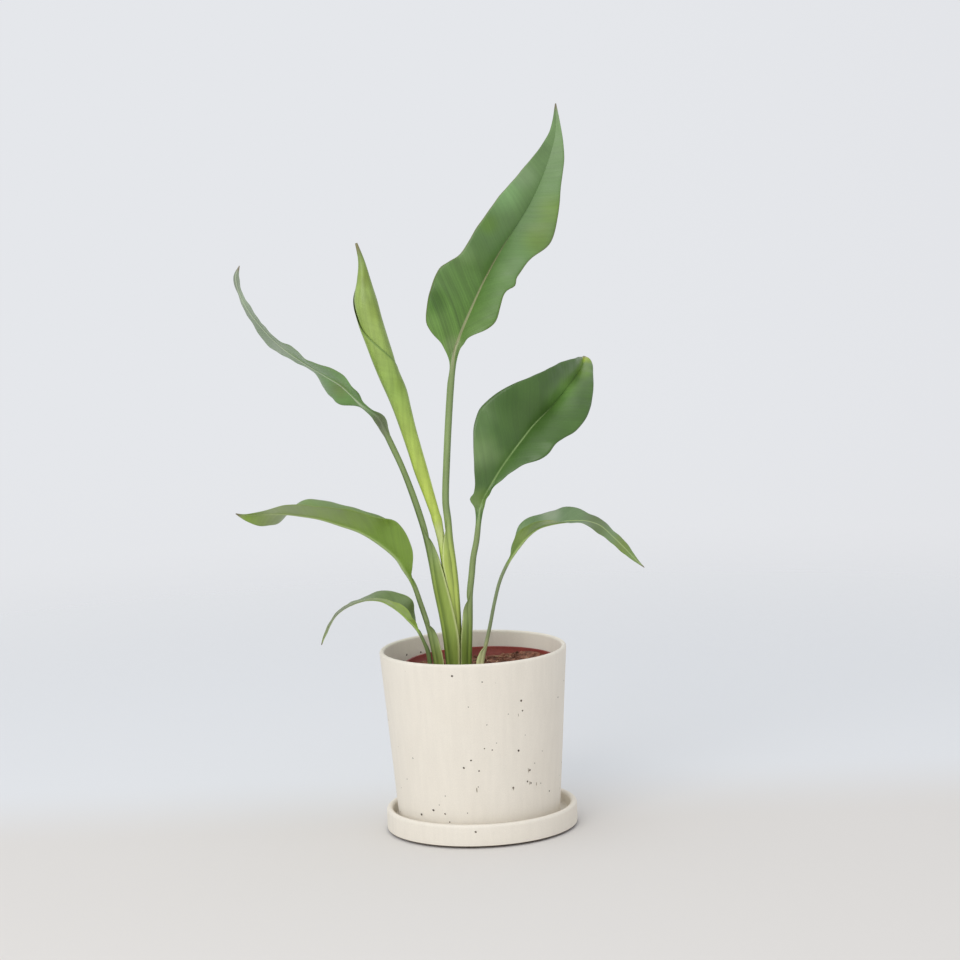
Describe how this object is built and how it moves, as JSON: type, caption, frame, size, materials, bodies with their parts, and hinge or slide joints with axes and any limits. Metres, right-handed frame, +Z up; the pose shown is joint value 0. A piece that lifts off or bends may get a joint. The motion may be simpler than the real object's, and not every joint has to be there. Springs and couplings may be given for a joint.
{
  "type": "potted bird of paradise",
  "caption": "Young bird of paradise plant with a fan of broad leaves on long stalks, one leaf still rolled up, in a speckled stoneware pot on its saucer.",
  "frame": {"origin": "on the ground under the middle of the cover pot, within the saucer's flat foot", "axes": "+Z up; the fan of leaves spreads along X and is seen from -Y"},
  "size_m": [0.3225, 0.1771, 0.5771],
  "materials": {
    "stoneware_saucer": "matte",
    "stoneware_pot": "matte",
    "red_plastic": "satin",
    "soil": "matte",
    "rootstock": "matte",
    "leaf_small_left": "satin",
    "leaf_right": "satin",
    "leaf_long_left": "satin",
    "leaf_broad_right": "satin",
    "leaf_far_left": "satin",
    "leaf_tall": "satin",
    "leaf_rolled": "satin"
  },
  "bodies": {
    "root": {"saucer": "stoneware_saucer", "cover_pot": "stoneware_pot", "nursery_pot": "red_plastic", "soil": "soil", "rootstock": "rootstock", "leaf_small_left": "leaf_small_left", "leaf_right": "leaf_right", "leaf_long_left": "leaf_long_left", "leaf_broad_right": "leaf_broad_right", "leaf_far_left": "leaf_far_left", "leaf_tall": "leaf_tall", "leaf_rolled": "leaf_rolled"}
  },
  "joints": []
}
